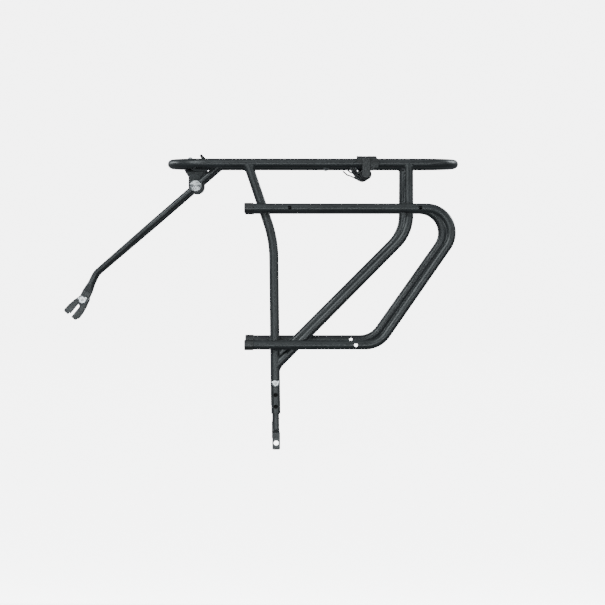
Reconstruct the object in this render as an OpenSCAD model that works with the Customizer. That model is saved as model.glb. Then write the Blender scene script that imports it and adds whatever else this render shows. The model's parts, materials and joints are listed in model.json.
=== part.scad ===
// Adjustable rear carrier for a 26 to 28 inch bicycle, in millimetres.
// +X points to the rear of the bicycle, +Z up, and -Y is the bicycle's left side.
// The origin is halfway between the two foot eyes, on the line through their bolt holes.

/* [Tubes] */
// Outside diameter of the deck, leg and rail tubes
tube_d = 12; // [11.8:0.1:12.2]
// Wall of those tubes
tube_wall = 1.6; // [1.5:0.1:1.8]

/* [Deck] */
// Height of the deck tube's centre above the foot holes
deck_z = 364; // [362:1:370]
// Front end of the deck, ahead of the foot holes
deck_front = 143; // [141:1:145]
// Rear end of the deck, behind the foot holes
deck_rear = 242; // [236:1:250]
// Width between the centres of the deck's side tubes
deck_width = 106; // [104:1:108]
// Corner radius of the deck loop, at the tube's centre
deck_corner_r = 45; // [44:0.5:46]
// Diameter of the crossbars
crossbar_d = 8; // [7.6:0.1:8.2]
// Height of the crossbars' centres
crossbar_z = 361; // [360.8:0.1:361.2]
// Place of the front crossbar, which carries the stay bracket
front_bar_x = -113; // [-114:0.5:-112]
// Place of the second crossbar
second_bar_x = -36; // [-40:0.5:-32]
// Place of the third crossbar
third_bar_x = 68; // [62:0.5:74]
// Place of the rear crossbar
rear_bar_x = 173.4; // [171:0.2:176]

/* [Side frames] */
// Distance from the middle plane to each foot
foot_spread = 78; // [76:1:80]
// Place of the front leg's bend, behind the foot
front_bend_x = -3; // [-4:0.2:-2]
// Height of the front leg's bend
front_bend_z = 264; // [260:1:268]
// Place where the front leg meets the deck
front_leg_top_x = -36.8; // [-39:0.1:-36]
// Radius of the front leg's bend
front_bend_r = 150; // [120:5:160]
// Lower end of the front leg
front_leg_end_z = 38; // [37:0.5:40]
// Place of the rear leg's upright part
rear_leg_x = 173.4; // [172:0.2:175]
// Height of the rear leg's bend
rear_bend_z = 274; // [270:1:278]
// Radius of the rear leg's bend
rear_bend_r = 54; // [45:1:60]
// Height at which the rear leg's centre line meets the front leg
rear_leg_end_z = 98.7; // [97:0.1:101]

/* [Pannier rails] */
// Height of the upper run
rail_top_z = 305.2; // [304:0.2:307]
// Height of the lower run
rail_low_z = 127.5; // [126:0.5:129]
// Front ends of both runs, ahead of the foot
rail_front = 40; // [38:0.5:42]
// Corner where the upper run and the slanted rear meet
rail_top_corner_x = 257.2; // [255:0.2:259]
// Corner where the lower run and the slanted rear meet
rail_low_corner_x = 132.8; // [131:0.2:135]
// Radius of the upper bend
rail_top_r = 32; // [30:0.5:33]
// Radius of the lower bend
rail_low_r = 32.5; // [30:0.5:36]
// Diameter of the holes in the rails
rail_hole_d = 5; // [4.2:0.1:5.6]
// Place of the front hole in the upper run, through its outer wall
rail_front_hole = 17.7; // [16:0.1:20]
// Place of the rear hole in the upper run, through its outer wall
rail_rear_hole = 187.4; // [186:0.1:192]
// Place of the hole in the lower run, through both walls
rail_low_hole = 103.4; // [95:0.5:105]
// Outside diameter and length of the end caps
cap_d = 13.5; // [13.2:0.1:14]
cap_length = 12; // [10:0.5:14]

/* [Feet] */
// Diameter of the hole in each foot
foot_hole_d = 6.4; // [6.2:0.1:6.6]
// Width of the foot's flattened end
foot_width = 10.3; // [9.8:0.1:11]
// Thickness of the foot's flattened end
foot_plate = 4; // [3.6:0.1:4.4]
// Height of the bolt that clamps the foot in the leg
foot_bolt_z = 77; // [76:0.5:78]
// Distance between the leg's holes
foot_pitch = 15; // [14:0.5:15]
// How far the foot slides out of the leg
foot_travel = 30; // [20:1:30]

/* [Stays] */
// Diameter of the stay rods
stay_d = 8; // [7.8:0.1:8.2]
// Place of the stay clamps' pivot
pivot_x = -105; // [-105.2:0.1:-104.8]
// Height of the stay clamps' pivot
pivot_z = 334.6; // [334.4:0.1:334.8]
// Distance of the rods from the middle plane, at the clamps
stay_y = 39; // [38.6:0.1:39.4]
// Distance of the rods from the middle plane, at their ends
stay_end_y = 16.5; // [16:0.1:17.5]
// Slope of the rods below horizontal, at the clamps
stay_slope = 40.8; // [40:0.1:42]
// Length of rod behind the pivot
stay_tail = 43; // [38:1:44]
// Distance from the pivot to the inward bend
stay_first_bend = 76.6; // [74:0.2:80]
// Distance from the pivot to the downward bend, along the slope
stay_second_bend = 176.2; // [174:0.2:178]
// Place of the eye at each rod's end
stay_eye_x = -255.4; // [-256:0.1:-255]
// Height of the eye at each rod's end
stay_eye_z = 184.6; // [184.2:0.1:185.2]
// Diameter of the clamp bolts' heads
stay_head_d = 15; // [14.6:0.1:15.4]

/* [Forks] */
// Slope of the forks from straight down
fork_slope = 39.4; // [38:0.2:41]
// Length from the screw to the tips
fork_length = 27; // [26:0.5:28]
// Width of the open slot
fork_slot = 5.2; // [5.1:0.1:5.4]
// Thickness of the fork plates
fork_plate = 3; // [2.6:0.1:3.2]

/* [Spring clamp] */
// Place of the clamp's pivot
clamp_x = 117.6; // [117.2:0.1:118]
// Height of the clamp's pivot
clamp_z = 349.6; // [349.4:0.1:349.8]
// Diameter of the clamp's wire
bail_d = 4; // [3.8:0.1:4.2]
// Distance of the arms from the middle plane
bail_y = 31; // [30:0.5:31]
// Slope of the arms where they rise to the deck
bail_rise = 60; // [58:1:62]
// Height of the arms' centres along the deck
bail_z = 367.8; // [367.7:0.1:368.2]
// Place where the front lip starts to rise
lip_start_x = -92.5; // [-93:0.1:-91]
// Place of the front lip
lip_x = -98.2; // [-99:0.1:-98]
// Height of the front lip
lip_z = 374.5; // [374.2:0.1:375]
// Diameter of the wire of the torsion springs
spring_d = 2; // [1.8:0.1:2]
// Turns of each torsion spring
spring_turns = 6; // [5:1:7]

/* [Hidden] */
$fn = 64;

COAT = "#2c3032";
ZINC = "#c9ccd0";
PLASTIC = "#1d1f20";
SPRING = "#8b9094";

// Gap that a weld bead fills between two tubes
weld_gap = 0.15;
// Gap between flat faces that bear on each other
face_gap = 0.1;
// Radial clearance of a shaft in its hole
run_gap = 0.05;
// Bends are this much thicker than straight parts, which reach lap into them
hair = 0.02;
lap = 0.5;

bore_d = tube_d - 2 * tube_wall;
foot_rod_d = bore_d - 2 * run_gap;
half_deck = deck_width / 2;
pivot = [pivot_x, pivot_z];
stay_eye = [stay_eye_x, stay_eye_z];
clamp_pivot = [clamp_x, clamp_z];
// Lean of each side frame from upright
tilt = atan((foot_spread - half_deck) / deck_z);
// Distance of the rails' plane outside the legs' plane
rail_off = tube_d + weld_gap;

function unit(v) = v / norm(v);
function turn(a, b) = atan2(norm(cross(a, b)), a * b);
function trim(a, b, r) = r * tan(turn(a, b) / 2);
// Distance up the plane of a side frame for a height, off mm outside the legs
function up(z, off = 0) = (z - off * sin(tilt)) / cos(tilt);
function in_plane(p, off = 0) = [p[0], 0, up(p[1], off)];
// A point in the deck's plane
function on_deck(x, y) = [x, y, deck_z];

// The children's XZ plane becomes the left side frame's plane, off mm outside the legs
module side_plane(off = 0) {
    translate([0, -foot_spread, 0])
        rotate([-tilt, 0, 0])
            translate([0, -off, 0])
                children();
}

module right() {
    mirror([0, 1, 0])
        children();
}

// The children's Z axis points along d from p
module along(p, d) {
    translate(p)
        rotate([0, atan2(norm([d[0], d[1]]), d[2]), atan2(d[1], d[0])])
            children();
}

// The children's Z axis points to +Y from p, which is [x, y, z]
module to_right(p) {
    translate(p)
        rotate([-90, 0, 0])
            children();
}

// One straight piece from p to q, which starts and ends short by cuts[0] and cuts[1]
module straight(p, q, cuts, d) {
    dir = unit(q - p);
    along(p + dir * cuts[0], dir)
        cylinder(h = norm(q - p) - cuts[0] - cuts[1], d = d);
}

// The bend at corner c, from direction a to direction b
module bend(c, a, b, r, d) {
    n = unit(cross(a, b));
    m = cross(n, a);
    o = c - a * trim(a, b, r) + m * r;
    multmatrix([
        [-m[0], a[0], n[0], o[0]],
        [-m[1], a[1], n[1], o[1]],
        [-m[2], a[2], n[2], o[2]],
        [0, 0, 0, 1]
    ])
        rotate_extrude(angle = turn(a, b))
            translate([r, 0])
                circle(d = d + 2 * hair);
}

// A round bar along the corners p, with a bend of radius r[i] at each inner corner.
// It reaches over past both ends.
module bent_rod(p, r, d, over = 0) {
    last = len(p) - 2;
    dir = [for (i = [0:last]) unit(p[i + 1] - p[i])];
    cut = [for (i = [0:last + 1]) i == 0 || i > last ? -over : trim(dir[i - 1], dir[i], r[i - 1]) - lap];
    for (i = [0:last])
        straight(p[i], p[i + 1], [cut[i], cut[i + 1]], d);
    for (i = [1:last])
        bend(p[i], dir[i - 1], dir[i], r[i - 1], d);
}

module bent_tube(p, r) {
    difference() {
        bent_rod(p, r, tube_d);
        bent_rod(p, r, bore_d, over = 1);
    }
}

// A turned part: its profile is a list of [radius, distance along Z]
module turned(profile) {
    rotate_extrude()
        polygon(profile);
}

// A hexagonal nut, h high, with its bearing face at Z = 0 and its bore along Z
module nut(flats, h, bore_r) {
    difference() {
        cylinder(h = h, d = flats / cos(30), $fn = 6);
        translate([0, 0, -1])
            cylinder(h = h + 2, r = bore_r);
    }
}

// A domed nut: its hexagon is hex_h high, its dome rises to h, and its blind bore is deep
module domed_nut(flats, hex_h, h, bore_r, deep) {
    r = flats / 2 - 0.3;
    difference() {
        union() {
            cylinder(h = hex_h, d = flats / cos(30), $fn = 6);
            turned(concat([[0, 1], [r, 1]], [for (a = [0:15:90]) [r * cos(a), h - r + r * sin(a)]]));
        }
        translate([0, 0, -1])
            cylinder(h = deep + 1, r = bore_r);
    }
}

// A pan-head screw: its head rises along +Z from Z = 0, and its shank goes down
module pan_screw(head_d, head_h, shank_d, shank_l, socket_d) {
    difference() {
        turned([
            [0, -shank_l], [shank_d / 2 - 0.4, -shank_l], [shank_d / 2, 0.4 - shank_l],
            [shank_d / 2, 0], [head_d / 2, 0], [head_d / 2, head_h * 0.45],
            [head_d / 2 - head_h * 0.2, head_h * 0.8], [head_d / 2 - head_h * 0.55, head_h], [0, head_h]
        ]);
        translate([0, 0, head_h * 0.4])
            cylinder(h = head_h, d = socket_d, $fn = 6);
    }
}

// A rod's end pressed flat, from round at Z = 0 to width by plate at Z = -length
module press_flat(d, width, plate, length) {
    intersection() {
        translate([0, 0, -length])
            cylinder(h = length, r1 = norm([width, plate]) / 2, r2 = d / 2);
        rotate([90, 0, 0])
            linear_extrude(2 * width, center = true)
                polygon([[-d / 2, 0], [d / 2, 0], [width / 2, -length], [-width / 2, -length]]);
        rotate([90, 0, 90])
            linear_extrude(2 * width, center = true)
                polygon([[-d / 2, 0], [d / 2, 0], [plate / 2, -length], [-plate / 2, -length]]);
    }
}

// ---------- Deck ----------

// The deck loop's corners, and its solid shape with diameter d
deck_corners = [
    on_deck(tube_d / 2 - deck_front, -half_deck), on_deck(deck_rear - tube_d / 2, -half_deck),
    on_deck(deck_rear - tube_d / 2, half_deck), on_deck(tube_d / 2 - deck_front, half_deck)
];

module deck_solid(d) {
    cut = deck_corner_r - lap;
    for (i = [0:3]) {
        here = deck_corners[i];
        next = deck_corners[(i + 1) % 4];
        after = deck_corners[(i + 2) % 4];
        straight(here, next, [cut, cut], d);
        bend(next, unit(next - here), unit(after - next), deck_corner_r, d);
    }
}

// Screw holes in the top of the side tubes, for the clamp bearings
bearing_screw_x = 116;
bearing_screw_d = 3.5;

module deck_loop() {
    color(COAT)
        difference() {
            deck_solid(tube_d);
            deck_solid(bore_d);
            for (side = [-1, 1])
                translate([bearing_screw_x, side * half_deck, deck_z])
                    cylinder(h = tube_d, d = bearing_screw_d);
        }
}

// A crossbar at x, from -half to +half across the deck, cut to fit the deck tube
module crossbar(x, half) {
    color(COAT)
        difference() {
            to_right([x, -half, crossbar_z])
                cylinder(h = 2 * half, d = crossbar_d);
            deck_solid(tube_d + 2 * weld_gap);
        }
}

// Crossbars end just under the side tubes; the front one ends inside the deck's front corners
bar_half = half_deck - tube_d / 2 + 1.5;
front_bar_half = bar_half - 4.5;

bracket_bolt_y = 16;
bracket_bolt_d = 4;

module crossbar_front() {
    difference() {
        crossbar(front_bar_x, front_bar_half);
        for (side = [-1, 1])
            translate([front_bar_x, side * bracket_bolt_y, crossbar_z - crossbar_d])
                cylinder(h = 2 * crossbar_d, d = bracket_bolt_d + 0.3);
    }
}

module crossbar_second() {
    crossbar(second_bar_x, bar_half);
}

module crossbar_third() {
    crossbar(third_bar_x, bar_half);
}

module crossbar_rear() {
    crossbar(rear_bar_x, bar_half);
}

// ---------- Side frames ----------

// A deck side tube, widened so that a weld fits round what is cut by it
module deck_side_cut() {
    along([-deck_front, -half_deck, deck_z], [1, 0, 0])
        cylinder(h = deck_front + deck_rear, d = tube_d + 2 * weld_gap);
}

// A crossbar at x, widened so that a weld fits round what is cut by it
module bar_cut(x) {
    to_right([x, -bar_half - weld_gap, crossbar_z])
        cylinder(h = tube_d, d = crossbar_d + 2 * weld_gap);
}

// The straight lower part of the front leg runs from the foot's hole to its bend
leg_low = [0, 0, 0];
leg_bend = in_plane([front_bend_x, front_bend_z]);
leg_top = in_plane([front_leg_top_x, deck_z]);
leg_dir = unit(leg_bend - leg_low);

// A point on the front leg's lower centre line at height z
function on_leg(z) = leg_dir * (up(z) / leg_dir[2]);

foot_bolt_d = 5;
leg_holes = [for (i = [0:2]) foot_bolt_z - i * foot_pitch];

// Sets the children on the front leg's centre line at height z, with their Z axis pointing outwards
module across_leg(z) {
    side_plane()
        translate(on_leg(z))
            rotate([90, 0, 0])
                children();
}

module front_leg() {
    color(COAT)
        difference() {
            side_plane()
                bent_tube([on_leg(front_leg_end_z), leg_bend, leg_top], [front_bend_r]);
            deck_side_cut();
            bar_cut(second_bar_x);
            for (z = leg_holes)
                across_leg(z)
                    cylinder(h = 2 * tube_d, d = foot_bolt_d + 0.5, center = true);
        }
}

module rear_leg() {
    color(COAT)
        difference() {
            side_plane()
                bent_tube(
                    [
                        in_plane([rear_leg_x, deck_z]), in_plane([rear_leg_x, rear_bend_z]),
                        on_leg(rear_leg_end_z)
                    ],
                    [rear_bend_r]
                );
            deck_side_cut();
            bar_cut(rear_bar_x);
            side_plane()
                along(on_leg(rear_leg_end_z - 40), leg_dir)
                    cylinder(h = 80, d = tube_d + 2 * weld_gap);
        }
}

module front_leg_left() {
    front_leg();
}

module front_leg_right() {
    right()
        front_leg();
}

module rear_leg_left() {
    rear_leg();
}

module rear_leg_right() {
    right()
        rear_leg();
}

// ---------- Pannier rails ----------

function rail_point(x, z) = in_plane([x, z], rail_off);

// A hole through the outer wall, which goes on for inward mm past the rail's centre
module rail_hole(x, z, inward) {
    translate(rail_point(x, z) + [0, inward, 0])
        rotate([90, 0, 0])
            cylinder(h = tube_d + inward, d = rail_hole_d);
}

module pannier_rail() {
    color(COAT)
        side_plane(rail_off)
            difference() {
                bent_tube(
                    [
                        rail_point(-rail_front, rail_top_z), rail_point(rail_top_corner_x, rail_top_z),
                        rail_point(rail_low_corner_x, rail_low_z), rail_point(-rail_front, rail_low_z)
                    ],
                    [rail_top_r, rail_low_r]
                );
                for (x = [rail_front_hole, rail_rear_hole])
                    rail_hole(x, rail_top_z, 0);
                rail_hole(rail_low_hole, rail_low_z, tube_d);
            }
}

module pannier_rail_left() {
    pannier_rail();
}

module pannier_rail_right() {
    right()
        pannier_rail();
}

cap_end = 1.5;

// A push-on cap over a rail's end, at height z
module cap(z) {
    edge = 1;
    inner = tube_d / 2 + run_gap;
    color(PLASTIC)
        side_plane(rail_off)
            along(rail_point(-rail_front - cap_end, z), [1, 0, 0])
                turned([
                    [0, 0], [cap_d / 2 - edge, 0], [cap_d / 2, edge], [cap_d / 2, cap_length - 0.4],
                    [cap_d / 2 - 0.4, cap_length], [inner, cap_length], [inner, cap_end - run_gap],
                    [0, cap_end - run_gap]
                ]);
}

module cap_upper_left() {
    cap(rail_top_z);
}

module cap_lower_left() {
    cap(rail_low_z);
}

module cap_upper_right() {
    right()
        cap(rail_top_z);
}

module cap_lower_right() {
    right()
        cap(rail_low_z);
}

// ---------- Stay bracket ----------

sheet = 2.5;
// Outer face of the bracket's tabs, and top of its flange
tab_y = 31.5;
flange_z = crossbar_z - crossbar_d / 2 - face_gap;
tab_r = 10;
bracket_front = -120;
bracket_rear = -91;
stay_bolt_d = 6;

// The bracket from the side, as seen in the XZ plane
module bracket_outline() {
    half = tab_r - 0.01;
    polygon([
        [bracket_front, flange_z + 1], [bracket_front, flange_z - sheet], pivot + [-half, 12],
        pivot - [half, 0], pivot + [half, 0], pivot + [half, 15], [bracket_rear, flange_z - sheet],
        [bracket_rear, flange_z + 1]
    ]);
    translate(pivot)
        circle(r = tab_r);
}

// The folded sheet from the front, in the YZ plane: a square-sided arch with round shoulders
module arch(half, top, r) {
    translate([-half, pivot[1] - 2 * tab_r])
        square([2 * half, top - r - pivot[1] + 2 * tab_r]);
    translate([r - half, top - 2 * r])
        square([2 * (half - r), 2 * r]);
    for (side = [-1, 1])
        translate([side * (half - r), top - r])
            circle(r = r);
}

module stay_bracket() {
    fold_r = 4;
    color(COAT)
        difference() {
            intersection() {
                rotate([90, 0, 0])
                    linear_extrude(3 * tab_y, center = true)
                        bracket_outline();
                rotate([90, 0, 90])
                    translate([0, 0, 2 * bracket_front])
                        linear_extrude(-2 * bracket_front)
                            difference() {
                                arch(tab_y, flange_z, fold_r);
                                arch(tab_y - sheet, flange_z - sheet, fold_r - sheet);
                            }
            }
            to_right([pivot[0], -2 * tab_y, pivot[1]])
                cylinder(h = 4 * tab_y, r = stay_bolt_d / 2 + run_gap);
            for (side = [-1, 1])
                translate([front_bar_x, side * bracket_bolt_y, flange_z - 2 * sheet])
                    cylinder(h = 4 * sheet, d = bracket_bolt_d + 0.3);
        }
}

bracket_head_h = 2.6;

module bracket_bolts() {
    head_z = flange_z - sheet - face_gap;
    color(ZINC)
        for (side = [-1, 1])
            translate([front_bar_x, side * bracket_bolt_y, head_z])
                rotate([180, 0, 0])
                    pan_screw(8, bracket_head_h, bracket_bolt_d, 16.5, 3);
}

module bracket_nuts() {
    color(ZINC)
        for (side = [-1, 1])
            translate([front_bar_x, side * bracket_bolt_y, crossbar_z + crossbar_d / 2 + face_gap])
                domed_nut(8, 4, 8, bracket_bolt_d / 2 + hair, 6);
}

// ---------- Stays ----------

// Outer face of the clamp bolt's head
stay_head_y = stay_y + stay_d / 2 + 3;
stay_dir = [-cos(stay_slope), 0, -sin(stay_slope)];
stay_washer_h = 1.2;
stay_nut_h = 5;

// Sets the children on the clamp bolt's axis, y mm left of the middle, with their Z axis pointing outwards
module on_pivot(y) {
    translate([pivot[0], -y, pivot[1]])
        rotate([90, 0, 0])
            children();
}

module stay_bolt() {
    inner = tab_y + face_gap;
    length = stay_head_y - inner;
    shank_l = inner - (tab_y - sheet - stay_washer_h - stay_nut_h - 2.5);
    bevel = 0.8;
    color(ZINC)
        difference() {
            on_pivot(inner)
                turned([
                    [0, -shank_l], [stay_bolt_d / 2 - 0.5, -shank_l], [stay_bolt_d / 2, 0.5 - shank_l],
                    [stay_bolt_d / 2, 0], [stay_head_d / 2 - 0.4, 0], [stay_head_d / 2, 0.4],
                    [stay_head_d / 2, length - bevel], [stay_head_d / 2 - bevel, length], [0, length]
                ]);
            along([pivot[0], -stay_y, pivot[1]] - stay_dir * stay_head_d, stay_dir)
                cylinder(h = 2 * stay_head_d, r = stay_d / 2 + run_gap);
        }
}

module stay_washer() {
    color(ZINC)
        on_pivot(tab_y - sheet - face_gap - stay_washer_h)
            difference() {
                cylinder(h = stay_washer_h, d = 12);
                translate([0, 0, -1])
                    cylinder(h = stay_washer_h + 2, r = stay_bolt_d / 2 + 0.2);
            }
}

module stay_nut() {
    color(ZINC)
        on_pivot(tab_y - sheet - 2 * face_gap - stay_washer_h - stay_nut_h)
            nut(10, stay_nut_h, stay_bolt_d / 2 + hair);
}

module stay_bolt_left() {
    stay_bolt();
}

module stay_bolt_right() {
    right()
        stay_bolt();
}

module stay_washer_left() {
    stay_washer();
}

module stay_washer_right() {
    right()
        stay_washer();
}

module stay_nut_left() {
    stay_nut();
}

module stay_nut_right() {
    right()
        stay_nut();
}

// A point on the sloping part of the left rod, t mm in front of the pivot
function on_stay(t, y) = [pivot[0], -y, pivot[1]] + stay_dir * t;

eye_centre = [stay_eye[0], -stay_end_y, stay_eye[1]];
second_bend = on_stay(stay_second_bend, stay_end_y);
eye_dir = unit(eye_centre - second_bend);
eye_r = 5.6;
eye_plate = 3.2;
// Distance of the round rod's end and of the flat plate's start from the eye's centre
round_end = 24;
flat_start = 12;
fork_screw_d = 6;

module stay() {
    color(COAT)
        difference() {
            union() {
                bent_rod(
                    [
                        on_stay(-stay_tail, stay_y), on_stay(stay_first_bend, stay_y), second_bend,
                        eye_centre - eye_dir * (round_end - lap)
                    ],
                    [60, 20],
                    stay_d
                );
                along(eye_centre - eye_dir * round_end, -eye_dir)
                    press_flat(stay_d + 2 * hair, 2 * eye_r, eye_plate, round_end - flat_start);
                translate([0, eye_plate / 2 - stay_end_y, 0])
                    rotate([90, 0, 0])
                        linear_extrude(eye_plate)
                            eye_outline();
            }
            to_right([eye_centre[0], -2 * stay_end_y, eye_centre[2]])
                cylinder(h = 2 * stay_end_y, r = fork_screw_d / 2 + 0.2);
        }
}

// The flat eye in the XZ plane
module eye_outline() {
    translate(stay_eye)
        circle(r = eye_r);
    translate(stay_eye)
        rotate(atan2(-eye_dir[2], -eye_dir[0]))
            translate([0, 0.01 - eye_r])
                square([flat_start + 0.3, 2 * eye_r - 0.02]);
}

module stay_left() {
    stay();
}

module stay_right() {
    right()
        stay();
}

// ---------- Forks ----------

fork_r = 6.8;
// Places along the fork, and half its width there
fork_neck = [7, 8.8];
fork_wide = [16.5, 10.4];
fork_tip = 10.8;
// Inner face of the fork plates
fork_y = stay_end_y + eye_plate / 2 + face_gap;
slot_start = 8 + fork_slot / 2;

// The fork in its own plane, with the screw at the origin and the tips along +X
module fork_outline() {
    corner = 2.6;
    edge = [
        [0, fork_r - 0.01], fork_neck, fork_wide, [fork_length - corner, fork_tip],
        [fork_length - 0.3 * corner, fork_tip - 0.3 * corner], [fork_length, fork_tip - corner]
    ];
    difference() {
        union() {
            circle(r = fork_r);
            polygon(concat(edge, [for (i = [len(edge) - 1:-1:0]) [edge[i][0], -edge[i][1]]]));
        }
        circle(r = fork_screw_d / 2 + run_gap);
        translate([slot_start, 0])
            circle(d = fork_slot);
        translate([slot_start, 0.01 - fork_slot / 2])
            square([fork_length, fork_slot - 0.02]);
    }
}

// Low pads pressed up on the outer face of both prongs
module fork_pads() {
    pad = 0.8;
    for (side = [-1, 1])
        translate([15.5, side * (fork_slot / 2 + 3.9), fork_plate - 0.5])
            cylinder(h = pad + 0.5, r = 2.6);
}

// Sets the children at the fork's screw, y mm left of the middle, with their Z axis pointing outwards
module on_eye(y) {
    translate([stay_eye[0], -y, stay_eye[1]])
        rotate([90, 0, 0])
            children();
}

module fork() {
    color(COAT)
        on_eye(fork_y)
            rotate(-90 - fork_slope) {
                linear_extrude(fork_plate)
                    fork_outline();
                fork_pads();
            }
}

module fork_screw() {
    color(ZINC)
        on_eye(fork_y + fork_plate + face_gap)
            pan_screw(11.7, 3.4, fork_screw_d, fork_plate + eye_plate + 8, 4);
}

module fork_nut() {
    color(ZINC)
        on_eye(stay_end_y - eye_plate / 2 - face_gap - 5)
            nut(10, 5, fork_screw_d / 2 + hair);
}

module fork_left() {
    fork();
}

module fork_right() {
    right()
        fork();
}

module fork_screw_left() {
    fork_screw();
}

module fork_screw_right() {
    right()
        fork_screw();
}

module fork_nut_left() {
    fork_nut();
}

module fork_nut_right() {
    right()
        fork_nut();
}

// ---------- Feet ----------

// Heights of the round rod's lower end and of the flat plate's top
foot_round_z = 18;
foot_flat_z = 12;
foot_bottom_z = -8.6;
foot_slot_w = foot_bolt_d + 0.2;

module foot() {
    slot_l = foot_travel + foot_slot_w;
    top_z = foot_bolt_z + slot_l + 4;
    color(COAT)
        difference() {
            union() {
                side_plane()
                    straight(on_leg(foot_round_z - lap), on_leg(top_z), [0, 0], foot_rod_d);
                side_plane()
                    along(on_leg(foot_round_z), leg_dir)
                        press_flat(foot_rod_d + 2 * hair, foot_width, foot_plate, foot_round_z - foot_flat_z);
                translate([0, foot_plate / 2 - foot_spread, 0])
                    rotate([90, 0, 0])
                        linear_extrude(foot_plate)
                            foot_outline();
            }
            to_right([0, -2 * foot_spread, 0])
                cylinder(h = 2 * foot_spread, d = foot_hole_d);
            for (t = [0, foot_travel])
                across_leg(foot_bolt_z + t)
                    cylinder(h = 2 * tube_d, d = foot_slot_w, center = true);
            across_leg(foot_bolt_z)
                rotate(atan2(-leg_dir[0], leg_dir[2]))
                    translate([0.01 - foot_slot_w / 2, 0, -tube_d])
                        cube([foot_slot_w - 0.02, foot_travel / cos(tilt) / leg_dir[2], 2 * tube_d]);
        }
}

// The flattened end in the XZ plane, with small corner radii at its bottom
module foot_outline() {
    corner = 2;
    half = foot_width / 2;
    translate([-half, foot_bottom_z + corner])
        square([foot_width, foot_flat_z + 1.6 - foot_bottom_z - corner]);
    translate([corner - half, foot_bottom_z])
        square([foot_width - 2 * corner, 2 * corner]);
    for (side = [-1, 1])
        translate([side * (half - corner), foot_bottom_z + corner])
            circle(r = corner);
}

module foot_left() {
    foot();
}

module foot_right() {
    right()
        foot();
}

module both_sides() {
    children();
    right()
        children();
}

module foot_bolts() {
    color(ZINC)
        both_sides()
            across_leg(foot_bolt_z)
                translate([0, 0, tube_d / 2 + face_gap])
                    pan_screw(9.7, 3, foot_bolt_d, tube_d + 6, 3.5);
}

module foot_nuts() {
    color(ZINC)
        both_sides()
            across_leg(foot_bolt_z)
                translate([0, 0, -tube_d / 2 - face_gap - 4])
                    nut(8, 4, foot_bolt_d / 2 + hair);
}

// ---------- Spring clamp ----------

axle_r = 3.5;
saddle_front = 105.5;
saddle_rear = 134.5;
saddle_r = 9.3;
tongue_w = 11.3;
tongue_y = half_deck + saddle_r + 1.5;

// The bearing's saddle from behind, in the YZ plane, on the left tube
module saddle_outline() {
    difference() {
        union() {
            circle(r = saddle_r);
            translate([0.01 - saddle_r, -tube_d / 2])
                square([2 * saddle_r - 0.02, tube_d / 2]);
        }
        circle(d = tube_d + 2 * run_gap);
        translate([0.01 - tube_d / 2 - run_gap, -2 * tube_d])
            square([tube_d + 2 * run_gap - 0.02, 2 * tube_d]);
        translate([-2 * tube_d, -tube_d / 2 - 2 * tube_d])
            square([4 * tube_d, 2 * tube_d]);
    }
}

// What the saddle keeps, in the XZ plane: full over the top, and down to the tube's underside at the rear
module saddle_side() {
    polygon([
        [saddle_front, deck_z], [saddle_front, deck_z + tube_d], [saddle_rear - 4, deck_z + tube_d],
        [saddle_rear - 4, deck_z + saddle_r], [saddle_rear, deck_z + 2], [saddle_rear - 3, deck_z - tube_d],
        [clamp_pivot[0], deck_z - tube_d], [clamp_pivot[0], deck_z]
    ]);
}

// The tongue from above, with its outer face at Y = 0 and rounded outer edges
module tongue_outline(half, depth) {
    edge = 1.5;
    translate([-half, edge])
        square([2 * half, depth - edge]);
    translate([edge - half, 0])
        square([2 * (half - edge), 2 * edge]);
    for (side = [-1, 1])
        translate([side * (half - edge), edge])
            circle(r = edge);
}

module clamp_bearing() {
    inner = half_deck + tube_d / 2 + run_gap;
    color(PLASTIC)
        difference() {
            union() {
                intersection() {
                    translate([saddle_front, -half_deck, deck_z])
                        rotate([90, 0, 90])
                            linear_extrude(saddle_rear - saddle_front)
                                saddle_outline();
                    rotate([90, 0, 0])
                        linear_extrude(2 * half_deck + 4 * tube_d)
                            saddle_side();
                }
                translate([clamp_pivot[0], -tongue_y, clamp_pivot[1]])
                    linear_extrude(deck_z + 6.5 - clamp_pivot[1])
                        tongue_outline(tongue_w / 2, tongue_y - inner);
                to_right([clamp_pivot[0], -tongue_y, clamp_pivot[1]])
                    rotate_extrude()
                        intersection() {
                            tongue_outline(tongue_w / 2 + 0.01, tongue_y - inner);
                            square(tongue_w);
                        }
            }
            to_right([clamp_pivot[0], 1.5 - tongue_y, clamp_pivot[1]])
                cylinder(h = tongue_y, r = axle_r + hair);
            translate([bearing_screw_x, -half_deck, deck_z])
                cylinder(h = 2 * saddle_r, d = bearing_screw_d + 0.3);
            translate([bearing_screw_x, -half_deck, deck_z + saddle_r - 2.4])
                cylinder(h = 4, r1 = bearing_screw_d / 2, r2 = bearing_screw_d / 2 + 4);
        }
}

module clamp_bearing_left() {
    clamp_bearing();
}

module clamp_bearing_right() {
    right()
        clamp_bearing();
}

module bearing_screws() {
    head_z = deck_z + saddle_r - 0.2;
    r = bearing_screw_d / 2 - hair;
    color(ZINC)
        both_sides()
            translate([bearing_screw_x, -half_deck, head_z])
                difference() {
                    turned([
                        [0, -8.2], [r - 0.8, -8.2], [r, -7], [r, -1.9], [r + 1.7, -0.2], [r + 1.7, 0], [0, 0]
                    ]);
                    translate([0, 0, -1.2])
                        cylinder(h = 2, d = 2.4, $fn = 6);
                }
}

module clamp_axle() {
    half = tongue_y - 1.8;
    color(ZINC)
        to_right([clamp_pivot[0], -half, clamp_pivot[1]])
            cylinder(h = 2 * half, r = axle_r);
}

eye_bend_r = axle_r + run_gap + hair + bail_d / 2;
eye_wrap = 215;

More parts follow.
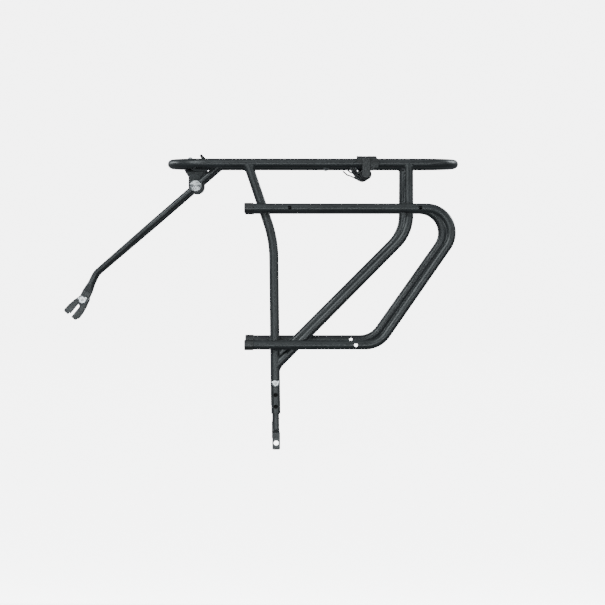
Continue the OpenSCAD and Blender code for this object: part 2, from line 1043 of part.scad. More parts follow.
// The bail's wire from the bottom of its left eye to the front lip, and back on the right
bail_low = clamp_pivot[1] - eye_bend_r;
bail_foot_x = clamp_pivot[0] - 6.7;
bail_top_x = bail_foot_x - (bail_z - bail_low) / tan(bail_rise);
bail_half = [
    [clamp_pivot[0], -bail_y, bail_low], [bail_foot_x, -bail_y, bail_low],
    [bail_top_x, -bail_y, bail_z], [lip_start_x, -bail_y, bail_z], [lip_x, -bail_y, lip_z]
];
function mirrored(p) = [for (i = [len(p) - 1:-1:0]) [p[i][0], -p[i][1], p[i][2]]];
bail_half_bends = [9, 8, 5];
bail_corner_r = 4.5;

// The hook that turns on the axle, at the end of an arm
module bail_eye() {
    to_right([clamp_pivot[0], -bail_y, clamp_pivot[1]])
        rotate(90 - eye_wrap)
            rotate_extrude(angle = eye_wrap)
                translate([eye_bend_r, 0])
                    circle(d = bail_d + 2 * hair);
}

module clamp_bail() {
    color(SPRING) {
        bent_rod(
            concat(bail_half, mirrored(bail_half)),
            concat(bail_half_bends, [bail_corner_r, bail_corner_r], [for (i = [2:-1:0]) bail_half_bends[i]]),
            bail_d,
            over = lap
        );
        both_sides()
            bail_eye();
    }
}

// Each torsion spring's wire is swept along its centre line
spring_r = 6.5;
spring_in_y = 38;
spring_out_y = 53.5;
spring_steps = 16;
spring_sides = 8;
// Angles on the coil, from +X towards +Z, where the wire leaves it: outer end and inner end
spring_out_angle = -118;
spring_in_angle = 165;
spring_sweep = spring_turns * 360 + spring_in_angle - 360 - spring_out_angle;
coil_points = spring_turns * spring_steps;
function coil_point(i) = let (
        t = i / coil_points,
        a = spring_out_angle + t * spring_sweep,
        y = spring_out_y + t * (spring_in_y - spring_out_y)
    ) [clamp_pivot[0] + spring_r * cos(a), -y, clamp_pivot[1] + spring_r * sin(a)];
spring_path = concat(
    [
        [91.5, -spring_out_y, deck_z - tube_d / 2 - spring_d / 2 - face_gap], [97, -spring_out_y, 351.9],
        [103, -spring_out_y, 349.9]
    ],
    [for (i = [0:coil_points]) coil_point(i)],
    [coil_point(coil_points) + [0, 2, 0], coil_point(coil_points) + [0, 8.5, 0]]
);

function path_dir(p, i) = unit(p[min(i + 1, len(p) - 1)] - p[max(i - 1, 0)]);
// A side direction that is never along the wire: away from the coil's axis
function path_side(p, i) = let (
        d = path_dir(p, i),
        away = [p[i][0] - clamp_pivot[0], 0, p[i][2] - clamp_pivot[1]]
    ) unit(away - d * (away * d));

module sweep(p, r) {
    rings = [
        for (i = [0:len(p) - 1])
            let (d = path_dir(p, i), s = path_side(p, i), t = cross(d, s))
                for (k = [0:spring_sides - 1])
                    p[i] + r * (s * cos(k * 360 / spring_sides) + t * sin(k * 360 / spring_sides))
    ];
    n = spring_sides;
    sides = [
        for (i = [0:len(p) - 2])
            for (k = [0:n - 1])
                [i * n + k, i * n + (k + 1) % n, (i + 1) * n + (k + 1) % n, (i + 1) * n + k]
    ];
    first = [for (k = [n - 1:-1:0]) k];
    last = [for (k = [0:n - 1]) (len(p) - 1) * n + k];
    polyhedron(rings, concat(sides, [first, last]));
}

module torsion_spring() {
    color(SPRING)
        sweep(spring_path, spring_d / 2);
}

module torsion_spring_left() {
    torsion_spring();
}

module torsion_spring_right() {
    right()
        torsion_spring();
}

deck_loop();
crossbar_front();
crossbar_second();
crossbar_third();
crossbar_rear();
front_leg_left();
front_leg_right();
rear_leg_left();
rear_leg_right();
pannier_rail_left();
pannier_rail_right();
cap_upper_left();
cap_lower_left();
cap_upper_right();
cap_lower_right();
stay_bracket();
bracket_bolts();
bracket_nuts();
clamp_bearing_left();
clamp_bearing_right();
bearing_screws();
clamp_axle();
clamp_bail();
torsion_spring_left();
torsion_spring_right();
foot_left();
foot_right();
foot_bolts();
foot_nuts();
stay_bolt_left();
stay_bolt_right();
stay_washer_left();
stay_washer_right();
stay_nut_left();
stay_nut_right();
stay_left();
stay_right();
fork_left();
fork_right();
fork_screw_left();
fork_screw_right();
fork_nut_left();
fork_nut_right();
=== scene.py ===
"""Looks of the bicycle rear carrier: coats, welds, threads, springs, studio and camera, in metres."""

import json
import math

import bpy
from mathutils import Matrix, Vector


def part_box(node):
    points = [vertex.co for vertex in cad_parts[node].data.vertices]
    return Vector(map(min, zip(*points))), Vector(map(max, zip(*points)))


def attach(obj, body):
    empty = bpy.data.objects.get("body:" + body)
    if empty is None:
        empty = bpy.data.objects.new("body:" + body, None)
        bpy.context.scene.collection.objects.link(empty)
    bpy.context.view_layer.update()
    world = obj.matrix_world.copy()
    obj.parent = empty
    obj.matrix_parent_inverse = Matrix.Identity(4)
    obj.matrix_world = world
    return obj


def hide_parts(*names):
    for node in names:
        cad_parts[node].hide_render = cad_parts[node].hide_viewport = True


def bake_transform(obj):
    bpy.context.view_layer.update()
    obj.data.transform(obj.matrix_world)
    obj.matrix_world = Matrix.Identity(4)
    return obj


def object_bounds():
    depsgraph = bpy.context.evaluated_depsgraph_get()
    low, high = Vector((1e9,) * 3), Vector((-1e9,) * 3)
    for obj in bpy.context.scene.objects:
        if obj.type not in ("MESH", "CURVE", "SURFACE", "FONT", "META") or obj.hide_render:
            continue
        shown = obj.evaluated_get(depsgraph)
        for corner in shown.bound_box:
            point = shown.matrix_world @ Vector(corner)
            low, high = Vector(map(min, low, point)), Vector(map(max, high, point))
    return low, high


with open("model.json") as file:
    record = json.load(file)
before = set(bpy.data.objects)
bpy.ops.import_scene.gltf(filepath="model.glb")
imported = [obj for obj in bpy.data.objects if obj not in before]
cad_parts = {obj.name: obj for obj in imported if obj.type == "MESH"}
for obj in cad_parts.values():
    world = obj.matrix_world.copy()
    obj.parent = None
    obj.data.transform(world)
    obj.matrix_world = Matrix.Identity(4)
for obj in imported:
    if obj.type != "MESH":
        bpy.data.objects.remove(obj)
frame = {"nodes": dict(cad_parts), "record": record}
cad_low, cad_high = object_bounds()
NODES = frame["nodes"]
SIDES = ("left", "right")

# ---------- Sizes of the carrier's frame ----------

deck_low, deck_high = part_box("deck_loop")
# Radius of the bent tubes, height of the deck tube's axis and half the deck's width between axes
TUBE_R = (deck_high.z - deck_low.z) / 2
DECK_Z = (deck_high.z + deck_low.z) / 2
HALF_DECK = deck_high.y - TUBE_R
DECK_CORNER_R = 0.045
# Distance of each foot's hole from the middle plane
FOOT_Y = 0.078
# The front leg runs from the foot's hole through its bend to the deck
FRONT_BEND_X, FRONT_BEND_Z = -0.003, 0.264
FRONT_TOP_X = -0.0368
# The rear leg runs down from the deck, bends, and ends on the front leg
REAR_X = 0.1734
REAR_BEND_Z = 0.274
REAR_END_Z = 0.0987
# Heights of the two runs of a pannier rail
RAIL_HEIGHTS = (0.3052, 0.1275)
# Distance of a rail's plane from the legs' plane: one tube and the gap that the weld fills
RAIL_OFF = 2 * TUBE_R + 0.00015
# Height of the screws that clamp the feet
BOLT_Z = 0.077
# Gap between two faces that bear on each other
FACE_GAP = 0.0001

TILT = math.atan((FOOT_Y - HALF_DECK) / DECK_Z)
# Up along the left legs' plane, and outward from it
UP = Vector((0, math.sin(TILT), math.cos(TILT)))
OUT = Vector((0, -math.cos(TILT), math.sin(TILT)))
FORWARD = Vector((1, 0, 0))


def side_point(x, z, off=0.0):
    """A point of the left side frame at x and height z, off metres outside the legs' plane."""
    return Vector((x, -FOOT_Y, 0)) + OUT * off + UP * ((z - off * math.sin(TILT)) / math.cos(TILT))


def middle(node):
    low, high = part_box(node)
    return (low + high) / 2


def outward(side):
    """Direction along Y that leads out of the carrier on a side."""
    return -1 if side == "left" else 1


# ---------- Camera ----------


def link(thing):
    bpy.context.scene.collection.objects.link(thing)


def look_at(thing, place, target):
    """Put a camera or a lamp at place, facing target."""
    thing.location = place
    thing.rotation_euler = (Vector(target) - Vector(place)).to_track_quat("-Z", "Y").to_euler()


CAMERA_PLACE = (-0.017, -2.910, 0.2596)
CAMERA_AIM = (0.0356, 0.0, 0.1804)
camera = bpy.data.objects.new("camera", bpy.data.cameras.new("camera"))
link(camera)
camera.data.sensor_width = 36
camera.data.lens = 130
camera.data.clip_end = 30
look_at(camera, CAMERA_PLACE, CAMERA_AIM)
bpy.context.scene.camera = camera

# ---------- Material tools ----------


class Coat:
    """A node material and short ways to add nodes to it."""

    def __init__(self, name):
        self.material = bpy.data.materials.new(name)
        self.material.use_nodes = True
        self.tree = self.material.node_tree
        self.shader = self.tree.nodes["Principled BSDF"]
        self.place = self.add("ShaderNodeTexCoord").outputs["Object"]

    def add(self, kind, inputs=None, **settings):
        made = self.tree.nodes.new(kind)
        for key, value in settings.items():
            setattr(made, key, value)
        for key, value in (inputs or {}).items():
            self.join(value, made.inputs[key])
        return made

    def join(self, value, socket):
        if isinstance(value, bpy.types.NodeSocket):
            self.tree.links.new(value, socket)
        else:
            socket.default_value = value

    def set(self, **values):
        for key, value in values.items():
            self.join(value, self.shader.inputs[key.replace("_", " ")])

    def noise(self, scale, detail=2.0, roughness=0.5, vector=None):
        return self.add(
            "ShaderNodeTexNoise",
            {
                "Vector": vector or self.place,
                "Scale": scale,
                "Detail": detail,
                "Roughness": roughness,
            },
        ).outputs["Fac"]

    def stretch(self, factors):
        return self.add(
            "ShaderNodeMapping", {"Vector": self.place, "Scale": factors}
        ).outputs["Vector"]

    def remap(self, value, source, target=(0, 1), smooth=False):
        """The value with the range source carried over to the range target."""
        return self.add(
            "ShaderNodeMapRange",
            {
                "Value": value,
                "From Min": source[0],
                "From Max": source[1],
                "To Min": target[0],
                "To Max": target[1],
            },
            interpolation_type="SMOOTHSTEP" if smooth else "LINEAR",
        ).outputs["Result"]

    def maths(self, operation, a, b):
        return self.add("ShaderNodeMath", {0: a, 1: b}, operation=operation).outputs[0]

    def sine(self, value):
        return self.add("ShaderNodeMath", {0: value}, operation="SINE").outputs[0]

    def vector_maths(self, operation, a, b):
        return self.add("ShaderNodeVectorMath", {0: a, 1: b}, operation=operation).outputs[0]

    def length(self, vector):
        return self.add(
            "ShaderNodeVectorMath", {0: vector}, operation="LENGTH"
        ).outputs["Value"]

    def mix(self, factor, a, b):
        """Colour mix; sockets 6 and 7 are the node's two colours."""
        return self.add("ShaderNodeMix", {0: factor, 6: a, 7: b}, data_type="RGBA").outputs[2]

    def bump(self, height, distance, strength, normal=None):
        made = self.add(
            "ShaderNodeBump", {"Height": height, "Distance": distance, "Strength": strength}
        )
        if normal:
            self.tree.links.new(normal, made.inputs["Normal"])
        return made.outputs["Normal"]


def grey(level, tint=(1, 1, 1)):
    return (level * tint[0], level * tint[1], level * tint[2], 1)


def near(coat, centre, inner, outer, ragged):
    """1 within inner metres of a point, falling to 0 at outer metres, broken up by noise."""
    offset = coat.vector_maths("SUBTRACT", coat.place, tuple(centre))
    fade = coat.remap(coat.length(offset), (inner, outer), (1, 0), smooth=True)
    edge = (0.5 - ragged / 2, 0.5 + ragged / 2)
    broken = coat.remap(coat.noise(900, detail=4, roughness=0.7), edge)
    return coat.maths("MULTIPLY", fade, broken)


# ---------- Materials ----------

# Share of bare metal where the powder coat is rubbed most
RUBBED = 0.35
# A screw's socket, painted dark as shade: radius that is dark, radius where the painted shade ends,
# raggedness of its edge
SOCKET_SHADE = (0.0021, 0.0027, 1.6)
# Distance between the lathe's rings on a turned face
RING_PITCH = 0.00032


def powder_coat(name, wear=None, shade_z=None):
    """Satin black powder coat: orange peel, cloudy depth, fine dust and rubbed metal.

    wear is the centre, the two radii and the raggedness of the rubbed spot. Above the height
    shade_z, the piece is hidden in a tube and painted black as shade, fully rough.
    """
    coat = Coat(name)
    cool = (0.92, 1.0, 1.05)
    cloud = coat.noise(38, detail=4, roughness=0.6)
    fleck = coat.noise(2600, detail=1)
    colour = coat.mix(coat.remap(cloud, (0.35, 0.65)), grey(0.012, cool), grey(0.020, cool))
    colour = coat.mix(coat.remap(fleck, (0.62, 0.78), (0, 0.4)), colour, grey(0.04, cool))
    rough = coat.remap(coat.noise(90, detail=3), (0.3, 0.7), (0.36, 0.47))
    peel = coat.bump(coat.noise(720, roughness=0.45), distance=0.00005, strength=0.55)
    normal = coat.bump(fleck, distance=0.00002, strength=0.5, normal=peel)
    metallic = 0.0
    if wear:
        mask = coat.maths("MULTIPLY", near(coat, *wear), RUBBED)
        colour = coat.mix(mask, colour, grey(0.33))
        rough = coat.maths("SUBTRACT", rough, coat.maths("MULTIPLY", mask, 0.08))
        metallic = coat.maths("MULTIPLY", mask, 0.85)
    # Painted shade: the part hidden in the leg is painted near black and fully rough, so the leg's
    # holes look dark
    if shade_z:
        height = coat.add("ShaderNodeSeparateXYZ", {"Vector": coat.place}).outputs["Z"]
        painted_shade = coat.remap(height, (shade_z, shade_z + 0.002), smooth=True)
        colour = coat.mix(painted_shade, colour, grey(0.002))
        rough = coat.maths("MAXIMUM", rough, painted_shade)
    coat.set(Base_Color=colour, Roughness=rough, Metallic=metallic, Normal=normal, IOR=1.45)
    return coat.material


def zinc(name, level, sockets=()):
    """Bright zinc plate on a turned or pressed fastener, with painted shade in its sockets."""
    coat = Coat(name)
    cloud = coat.noise(420, detail=4, roughness=0.6)
    brushed = coat.noise(1500, detail=3, roughness=0.6)
    stain = coat.remap(coat.noise(160, detail=3), (0.58, 0.72), (0, 0.35))
    dull, bright = grey(level * 0.86, (1, 1, 1.02)), grey(level, (0.99, 1, 1.01))
    colour = coat.mix(coat.remap(cloud, (0.35, 0.7)), dull, bright)
    colour = coat.mix(stain, colour, grey(0.32, (1.02, 1, 0.95)))
    # Painted shade: each socket is painted near black where its recess lies in shade
    for socket in sockets:
        colour = coat.mix(near(coat, socket, *SOCKET_SHADE), colour, grey(0.02))
    coat.set(
        Base_Color=colour,
        Metallic=1.0,
        Roughness=coat.remap(brushed, (0.3, 0.7), (0.2, 0.36)),
        Normal=coat.bump(brushed, distance=0.00003, strength=0.4),
    )
    return coat.material


def turned_face(name, pivot):
    """Steel turned on a lathe about the Y axis through pivot: fine rings and a bow-tie glint."""
    coat = Coat(name)
    offset = coat.vector_maths("SUBTRACT", coat.place, tuple(pivot))
    radius = coat.length(coat.vector_maths("MULTIPLY", offset, (1, 0, 1)))
    rings = coat.sine(coat.maths("MULTIPLY", radius, 2 * math.pi / RING_PITCH))
    cloud = coat.noise(160)
    coat.set(
        Base_Color=coat.mix(coat.remap(cloud, (0.35, 0.65)), grey(0.5), grey(0.58)),
        Metallic=1.0,
        Roughness=coat.remap(cloud, (0.3, 0.7), (0.24, 0.28)),
        Anisotropic=0.9,
        Anisotropic_Rotation=0.25,
        Tangent=coat.add("ShaderNodeTangent", direction_type="RADIAL", axis="Y").outputs[0],
        Normal=coat.bump(rings, distance=0.000006, strength=0.3),
    )
    return coat.material


def plastic(name):
    """Moulded black nylon with a spark-eroded grain."""
    coat = Coat(name)
    grain = coat.noise(1900)
    cloud = coat.noise(70, detail=3)
    coat.set(
        Base_Color=coat.mix(coat.remap(cloud, (0.3, 0.7)), grey(0.007), grey(0.013)),
        Roughness=coat.remap(grain, (0.3, 0.7), (0.34, 0.46)),
        Normal=coat.bump(grain, distance=0.00004, strength=0.5),
        IOR=1.52,
    )
    return coat.material


def spring_wire(name, level):
    """Oiled spring wire, darker in streaks."""
    coat = Coat(name)
    streak = coat.noise(300, detail=4, roughness=0.65, vector=coat.stretch((1, 0.25, 1)))
    dark, light = grey(level * 0.55), grey(level, (1, 1, 1.03))
    coat.set(
        Base_Color=coat.mix(coat.remap(streak, (0.35, 0.65)), dark, light),
        Metallic=0.9,
        Roughness=coat.remap(streak, (0.3, 0.7), (0.3, 0.45)),
        Normal=coat.bump(coat.noise(1700), distance=0.00002, strength=0.4),
    )
    return coat.material


COAT = powder_coat("powder_coat")
ZINC = zinc("zinc_plate", 0.72)
PLASTIC = plastic("black_nylon")
SPRING = spring_wire("spring_wire", 0.05)
LOOKS = {
    "powder_coat": COAT,
    "zinc_steel": ZINC,
    "black_plastic": PLASTIC,
    "spring_steel": SPRING,
}
# Level of a darker copy of the zinc, painted shade that tones down the glint on screws that face the
# camera
SHADED_ZINC = 0.6
# Depth of the middle of a fork screw's socket below its head's face
SOCKET_DEPTH = 0.0014
# Depth of a foot's worn face inside the foot's box
FOOT_FACE = 0.002
# Worn spots: radius that is rubbed, radius where the wear ends, raggedness of its edge
FORK_WEAR = (0.002, 0.011, 0.3)
FOOT_WEAR = (0.003, 0.0075, 0.35)
# A fork's wear lies this far from its screw, as a share of the way to the fork's middle
WEAR_REACH = 1.5
# The feet are painted black as shade above this height, where the legs hide them
SHADE_Z = 0.04


def paint(material, node):
    mesh = NODES[node].data
    mesh.materials.clear()
    mesh.materials.append(material)


def outer_face(node, side, depth):
    """Y of a plane depth metres inside a node's outer face."""
    low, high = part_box(node)
    return low.y + depth if side == "left" else high.y - depth


for part in frame["record"]["subparts"]:
    paint(LOOKS[part["material_slot"]], part["node"])
for side in SIDES:
    fork, screw, foot, bolt = (kind + side for kind in ("fork_", "fork_screw_", "foot_", "stay_bolt_"))
    head = middle(screw)
    slot_end = head + (middle(fork) - head) * Vector((1, 0, 1)) * WEAR_REACH
    paint(powder_coat("fork_coat_" + side, (slot_end, *FORK_WEAR)), fork)
    eye = (0, outer_face(foot, side, FOOT_FACE), 0)
    # The foot's coat has rubbed wear at its eye, and painted shade where the leg hides it
    paint(powder_coat("foot_coat_" + side, (eye, *FOOT_WEAR), SHADE_Z), foot)
    paint(turned_face("turned_steel_" + side, middle(bolt)), bolt)
    # Middle of the fork screw's socket, where its painted shade is centred
    head.y = outer_face(screw, side, SOCKET_DEPTH)
    # The fork screw gets the darker zinc copy, painted shade
    paint(zinc("fork_screw_zinc_" + side, SHADED_ZINC, [head]), screw)

# ---------- Meshes ----------


def smooth_mesh(name, points, faces, material):
    """A linked object with a smooth mesh in one material."""
    mesh = bpy.data.meshes.new(name)
    mesh.from_pydata([tuple(p) for p in points], [], faces)
    mesh.validate()
    mesh.polygons.foreach_set("use_smooth", [True] * len(mesh.polygons))
    mesh.materials.append(material)
    made = bpy.data.objects.new(name, mesh)
    link(made)
    return made


def carrier_piece(name, points, faces, slot, body=None):
    """A piece of the visual model in its slot's material, attached to a body if one is given."""
    made = smooth_mesh(name, points, faces, LOOKS[slot])
    if body:
        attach(made, body)
    return made


def append_mesh(points, faces, more_points, more_faces):
    """Add a mesh to the lists of another."""
    base = len(points)
    points += more_points
    faces += [[base + k for k in face] for face in more_faces]


def tube_mesh(path, ups, radii, sides):
    """Points and faces of a round wire along path; ups are side directions that keep it untwisted."""
    points, faces = [], []
    last = len(path) - 1
    for i, p in enumerate(path):
        along = (path[min(i + 1, last)] - path[max(i - 1, 0)]).normalized()
        up = (ups[i] - along * ups[i].dot(along)).normalized()
        across = along.cross(up)
        for k in range(sides):
            a = 2 * math.pi * k / sides
            points.append(p + radii[i] * (up * math.cos(a) + across * math.sin(a)))
    for i in range(last):
        for k in range(sides):
            n = (k + 1) % sides
            faces.append([i * sides + k, i * sides + n, (i + 1) * sides + n, (i + 1) * sides + k])
    faces.append(list(range(sides))[::-1])
    faces.append([last * sides + k for k in range(sides)])
    return points, faces


# ---------- Surfaces that the welds lie on ----------


def deck_surface(p):
    """Distance of p from the deck tube's surface."""
    mid_x = (deck_high.x + deck_low.x) / 2
    half_x = (deck_high.x - deck_low.x) / 2 - TUBE_R
    qx = abs(p.x - mid_x) - (half_x - DECK_CORNER_R)
    qy = abs(p.y) - (HALF_DECK - DECK_CORNER_R)
    d = math.hypot(max(qx, 0), max(qy, 0)) + min(max(qx, qy), 0) - DECK_CORNER_R
    return math.hypot(d, p.z - DECK_Z) - TUBE_R


def tube_surface(a, b, radius=TUBE_R):
    """A function: distance from the surface of the straight tube from a to b."""
    along = (b - a).normalized()

    def surface(p):
        v = p - a
        return (v - along * v.dot(along)).length - radius

    return surface


def drop(p, surface, lift=-0.00003):
    """p moved onto a surface, lift metres above it; a weld's edge is sunk a little."""
    h = 1e-5
    steps = (Vector((h, 0, 0)), Vector((0, h, 0)), Vector((0, 0, h)))
    for _ in range(6):
        slope = Vector([(surface(p + e) - surface(p - e)) / (2 * h) for e in steps])
        if slope.length < 1e-6:
            break
        p = p - slope * ((surface(p) - lift) / slope.length_squared)
    return p


# ---------- Weld fillets ----------

# Points across a bead, pitch of its ripples, swell of its crown and height of the ripples
BEAD = 9
RIPPLE_PITCH = 0.0017
SWELL, RIPPLE = 0.00022, 0.00009
# Length of the fillet's legs on crossbars, at the deck, where rails cross legs, and on a rear leg's end
BAR_FILLET = 0.0019
DECK_FILLET = 0.0024
RAIL_FILLET = 0.0026
END_FILLET, END_FILLET_EXTRA = 0.0026, 0.0034
# The search for a weld's root starts this far back from a tube's end, and at this height on a rear leg
BAR_BACK, FRONT_BACK, END_BACK = 0.02, 0.03, 0.035
REAR_START_Z = 0.335
# It goes on for at most this far, in steps of at least this much, until the tubes are this close
END_MOST, BAR_MOST = 0.08, 0.0265
LEAST_STEP = 0.00005
TOUCH = 0.0001


def bead_sheet(rows):
    """A closed weld fillet from rows of (start on one tube, root, end on the other), with ripples."""
    points, faces = [], []
    length = 0.0
    for i, (a, k, c) in enumerate(rows):
        if i:
            length += (k - rows[i - 1][1]).length
        out = (a + c) / 2 - k
        away = out.normalized() if out.length > 1e-7 else Vector((0, 0, 1))
        for j in range(BEAD):
            s = j / (BEAD - 1)
            p = a * (1 - s) ** 2 + k * (2 * s * (1 - s)) + c * s**2
            crown = math.sin(math.pi * s)
            ripple = math.sin(2 * math.pi * (length / RIPPLE_PITCH + 0.35 * crown))
            points.append(p + away * (crown * (SWELL + RIPPLE * ripple)))
    for i in range(len(rows)):
        here, there = i * BEAD, (i + 1) % len(rows) * BEAD
        faces += [[here + j, here + j + 1, there + j + 1, there + j] for j in range(BEAD - 1)]
    return points, faces


def circle_rays(u, v, steps):
    """Unit directions round a circle in the plane of u and v."""
    for i in range(steps):
        a = 2 * math.pi * i / steps
        yield u * math.cos(a) + v * math.sin(a)


def end_weld(start, direction, radius, branch, main, fillet, steps=150, most=END_MOST):
    """Rows of the fillet where a tube that runs from start along direction ends on another.

    branch and main are the two tubes' surfaces, and fillet gives the leg's length for a ray.
    """
    d = direction.normalized()
    e1 = d.orthogonal().normalized()
    rows = []
    for ray in circle_rays(e1, d.cross(e1), steps):
        t, best, best_gap = 0.0, most, 1.0
        while t < most:
            gap = main(start + ray * radius + d * t)
            if gap < best_gap:
                best, best_gap = t, gap
            if gap < TOUCH:
                break
            t += max(LEAST_STEP, 0.5 * gap)
        root = start + ray * radius + d * best
        leg = fillet(ray)
        on_branch = drop(root - d * leg, branch)
        on_main = drop(root + ray * leg - d * (0.15 * leg), main)
        rows.append((on_branch, root, on_main))
    return rows


def cross_weld(centre, one, other, steps=120):
    """Rows of the fillet round the place where two crossing tubes touch in the legs' plane."""
    # The root lies where the two surfaces together are this far away, and no further out than most
    reach, most = 0.0016, 0.0068
    rows = []
    for ray in circle_rays(FORWARD, UP, steps):
        low, high = 0.0, 0.02
        for _ in range(30):
            mid = (low + high) / 2
            p = centre + ray * mid
            if one(p) + other(p) < reach:
                low = mid
            else:
                high = mid
        rho = min(low, most)
        edge = centre + ray * (rho + RAIL_FILLET)
        rows.append((drop(edge, one), centre + ray * rho, drop(edge, other)))
    return rows


def add_welds(name, row_sets):
    """One object a side with all the fillets of a group, made on the left and mirrored."""
    for side in SIDES:
        points, faces = [], []
        for rows in row_sets:
            got, add = bead_sheet(rows)
            if side == "right":
                got = [Vector((p.x, -p.y, p.z)) for p in got]
                add = [face[::-1] for face in add]
            append_mesh(points, faces, got, add)
        carrier_piece(name + "_" + side, points, faces, "powder_coat", "carrier")


def bar_fillet(ray):
    return BAR_FILLET


def deck_fillet(ray):
    return DECK_FILLET


def end_fillet(ray):
    """The fillet of a rear leg's end is longest under the leg."""
    return END_FILLET + END_FILLET_EXTRA * max(0.0, ray.dot(below)) ** 2


def crossbar_weld(name):
    """The fillet of a crossbar's left end."""
    low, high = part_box(name)
    centre = (low + high) / 2
    radius = (high.z - low.z) / 2
    left = Vector((0, -1, 0))
    on_axis = Vector((centre.x, 0, centre.z))
    branch = tube_surface(on_axis, on_axis + left, radius)
    start = on_axis + left * (high.y - BAR_BACK)
    return end_weld(start, left, radius, branch, deck_surface, bar_fillet, most=BAR_MOST)


add_welds(
    "crossbar_welds",
    [crossbar_weld("crossbar_" + place) for place in ("front", "second", "third", "rear")],
)

front_foot = side_point(0, 0)
front_bend = side_point(FRONT_BEND_X, FRONT_BEND_Z)
front_top = side_point(FRONT_TOP_X, DECK_Z)
rear_top = side_point(REAR_X, DECK_Z)
rear_bend = side_point(REAR_X, REAR_BEND_Z)
rear_end = front_foot + (front_bend - front_foot) * (REAR_END_Z / FRONT_BEND_Z)
front_low_tube = tube_surface(front_foot, front_bend)
front_up_tube = tube_surface(front_bend, front_top)
rear_up_tube = tube_surface(rear_bend, rear_top)
rear_low_tube = tube_surface(rear_bend, rear_end)

rise = front_top - front_bend
slant = (rear_end - rear_bend).normalized()
below = (Vector((0, 0, -1)) + slant * slant.z).normalized()
front_start = front_top - rise.normalized() * FRONT_BACK
rear_start = side_point(REAR_X, REAR_START_Z)
end_start = rear_end - slant * END_BACK
add_welds(
    "leg_welds",
    [
        end_weld(rear_start, UP, TUBE_R, rear_up_tube, deck_surface, deck_fillet),
        end_weld(front_start, rise, TUBE_R, front_up_tube, deck_surface, deck_fillet),
        end_weld(end_start, slant, TUBE_R, rear_low_tube, front_low_tube, end_fillet, 220),
    ],
)

rail_welds = []
for z in RAIL_HEIGHTS:
    rail_tube = tube_surface(side_point(0, z, RAIL_OFF), side_point(REAR_X, z, RAIL_OFF))
    touch_z = z - RAIL_OFF * math.sin(TILT)
    for a, b, tube in (
        (front_foot, front_bend, front_low_tube),
        (front_bend, front_top, front_up_tube),
        (rear_bend, rear_top, rear_up_tube),
        (rear_bend, rear_end, rear_low_tube),
    ):
        t = (touch_z - a.z) / (b.z - a.z)
        if 0 <= t <= 1:
            touch = a + (b - a) * t + OUT * (RAIL_OFF / 2)
            rail_welds.append(cross_weld(touch, tube, rail_tube))
add_welds("rail_welds", rail_welds)

# ---------- Threads ----------

# Steps in one turn of a thread and sides of its ridge
THREAD_STEPS, RIDGE_SIDES = 24, 6
# Distance from the screw's tip to the first turn, depth that the ridge is sunk, and the ridge's
# radius as a share of the pitch
THREAD_START, RIDGE_SUNK, RIDGE_R = 0.0004, 0.0001, 0.36


def thread(points, faces, tip, axis, radius, length, pitch):
    """A helical ridge from the screw's tip back along axis."""
    d = axis.normalized()
    e1 = d.orthogonal().normalized()
    e2 = d.cross(e1)
    path, ups, radii = [], [], []
    for i in range(int(length / pitch * THREAD_STEPS) + 1):
        a = 2 * math.pi * i / THREAD_STEPS
        ray = e1 * math.cos(a) + e2 * math.sin(a)
        along = THREAD_START + pitch * i / THREAD_STEPS
        path.append(tip + d * along + ray * (radius - RIDGE_SUNK))
        ups.append(ray)
        # The ridge grows to its full size over the first half turn
        grown = min(1.0, 2 * i / THREAD_STEPS)
        radii.append(pitch * RIDGE_R * max(0.2, grown))
    append_mesh(points, faces, *tube_mesh(path, ups, radii, RIDGE_SIDES))


def thread_object(name, screws, body):
    points, faces = [], []
    for screw in screws:
        thread(points, faces, *screw)
    carrier_piece(name, points, faces, "zinc_steel", body)


# Radius, threaded length and pitch of the M6 bolts and of the M5 foot screws
M6 = (0.003, 0.008, 0.001)
M5 = (0.0025, 0.0055, 0.0008)
# Reach of a foot screw's tip past its leg, and height of its socket's middle above the leg
FOOT_SCREW_REACH = 0.006
FOOT_SOCKET = 0.0016

for side in SIDES:
    sign = outward(side)
    for kind, body in (("stay_bolt_", "stay_clamp_"), ("fork_screw_", "stay_rod_")):
        low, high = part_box(kind + side)
        tip = (low + high) / 2
        tip.y = high.y if side == "left" else low.y
        screw = (tip, Vector((0, sign, 0)), *M6)
        thread_object(kind + "thread_" + side, [screw], body + side)

on_leg = front_foot + (front_bend - front_foot) * (BOLT_Z / front_bend.z)
head_seat = on_leg + OUT * (TUBE_R + FACE_GAP)
foot_screws, foot_sockets = [], []
for side in SIDES:
    flip = Vector((1, -outward(side), 1))
    tip = (head_seat - OUT * (2 * TUBE_R + FOOT_SCREW_REACH)) * flip
    foot_screws.append((tip, OUT * flip, *M5))
    # Middles of the foot screws' sockets, where painted shade darkens them
    foot_sockets.append((head_seat + OUT * FOOT_SOCKET) * flip)
thread_object("foot_bolt_threads", foot_screws, "carrier")
# The foot bolts get the darker zinc copy, painted shade, and painted shade in their sockets
paint(zinc("foot_bolt_zinc", SHADED_ZINC, foot_sockets), "foot_bolts")

# ---------- Torsion springs ----------

axle = middle("clamp_axle")
SPRING_R, WIRE_R, WIRE_SIDES = 0.0065, 0.001, 12
# Y of the coil's two ends, angles where it starts and ends, and its turns
OUT_Y, IN_Y = 0.0535, 0.038
OUT_ANGLE, IN_ANGLE, TURNS = math.radians(-118), math.radians(165), 6
TURN_STEPS = 60
# X and Z of the spring's leg, from under the deck's tube to the coil
SPRING_LEG = ((0.0915, deck_low.z - WIRE_R - FACE_GAP), (0.097, 0.3519), (0.103, 0.3499))
# How far the inner end runs on toward the middle plane
INNER_END = (0.002, 0.0085)


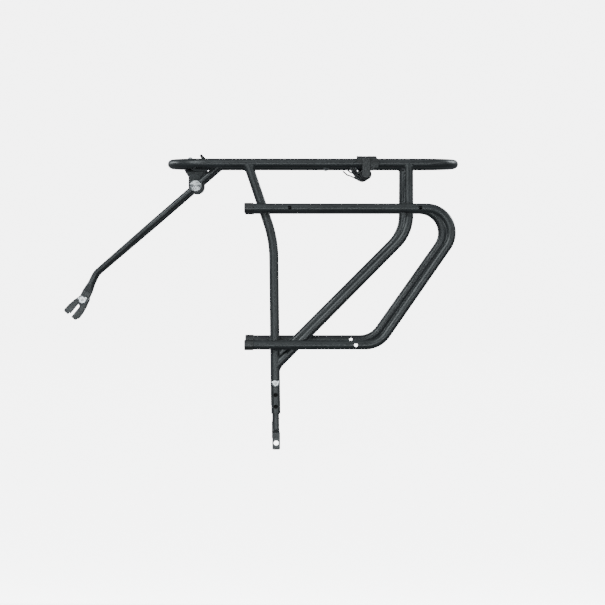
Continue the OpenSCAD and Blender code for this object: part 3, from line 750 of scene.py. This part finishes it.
def spring_path(sign):
    """Points of a spring's wire, from its leg through the coil to its inner end."""
    path = [Vector((x, sign * OUT_Y, z)) for x, z in SPRING_LEG]
    sweep = 2 * math.pi * (TURNS - 1) + IN_ANGLE - OUT_ANGLE
    count = TURNS * TURN_STEPS
    for i in range(count + 1):
        a = OUT_ANGLE + i / count * sweep
        y = OUT_Y + i / count * (IN_Y - OUT_Y)
        x, z = axle.x + SPRING_R * math.cos(a), axle.z + SPRING_R * math.sin(a)
        path.append(Vector((x, sign * y, z)))
    tail = path[-1]
    return path + [tail - Vector((0, sign * run, 0)) for run in INNER_END]


for side in SIDES:
    sign = outward(side)
    path = spring_path(sign)
    ups = [((p - axle) * Vector((1, 0, 1))).normalized() for p in path]
    points, faces = tube_mesh(path, ups, [WIRE_R] * len(path), WIRE_SIDES)
    coil = carrier_piece("spring_coil_" + side, points, faces, "spring_steel")
    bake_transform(coil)
    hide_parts("torsion_spring_" + side)

# ---------- Studio ----------


def paper():
    """Pale studio paper that glows, so that it stays even behind the dark object."""
    coat = Coat("studio_paper")
    coat.set(
        Base_Color=coat.mix(coat.noise(3), grey(0.40), grey(0.42)),
        Roughness=0.9,
        Specular_IOR_Level=0.2,
        Emission_Color=(1, 1, 1, 1),
        Emission_Strength=5.6,
    )
    return coat.material


def studio_bowl(level, flat=4.0, curve=1.2, height=5.0, steps=64, arc=12):
    """A round pale floor of radius flat that curves up into a wall on all sides."""
    profile = []
    for k in range(arc + 1):
        a = math.pi / 2 * k / arc
        profile.append((flat + curve * math.sin(a), curve - curve * math.cos(a)))
    profile.append((flat + curve, height))
    n = len(profile)
    points, faces = [(0, 0, level)], []
    for i in range(steps):
        a = 2 * math.pi * i / steps
        points += [(r * math.cos(a), r * math.sin(a), level + z) for r, z in profile]
        here, there = 1 + i * n, 1 + (i + 1) % steps * n
        faces.append([0, here, there])
        faces += [[here + k, here + k + 1, there + k + 1, there + k] for k in range(n - 1)]
    made = smooth_mesh("studio_floor", points, faces, paper())
    made.visible_glossy = False
    made.visible_diffuse = False


def softbox(name, place, target, width, height, power):
    data = bpy.data.lights.new(name, "AREA")
    data.shape = "RECTANGLE"
    data.size, data.size_y = width, height
    data.energy = power
    data.color = (0.90, 0.98, 1.0)
    lamp = bpy.data.objects.new(name, data)
    look_at(lamp, place, target)
    link(lamp)


# The floor lies just below the feet
studio_bowl(cad_low.z - 0.0002)
centre = (cad_low + cad_high) / 2
softbox("key_light", (-0.9, -1.8, 1.6), centre, 1.2, 0.9, 24)
softbox("glint_light", (-1.7, -2.0, 1.5), centre, 0.35, 0.35, 34)
softbox("top_light", (0.1, -0.5, 2.4), centre, 2.0, 1.2, 10)
softbox("fill_light", (1.8, -1.4, 0.8), centre, 1.2, 1.6, 12)
softbox("low_light", (0.0, -1.3, 0.03), (0.05, 0, 0.25), 2.4, 0.3, 15)
softbox("rear_light", (2.3, 1.2, 1.5), centre, 1.2, 0.9, 40)
softbox("rear_side_light", (-2.3, 1.1, 1.0), centre, 1.2, 0.9, 30)

world = bpy.data.worlds.new("studio_world")
bpy.context.scene.world = world
world.use_nodes = True
world.node_tree.nodes["Background"].inputs["Color"].default_value = (0.88, 0.98, 1.06, 1)
world.node_tree.nodes["Background"].inputs["Strength"].default_value = 0.22
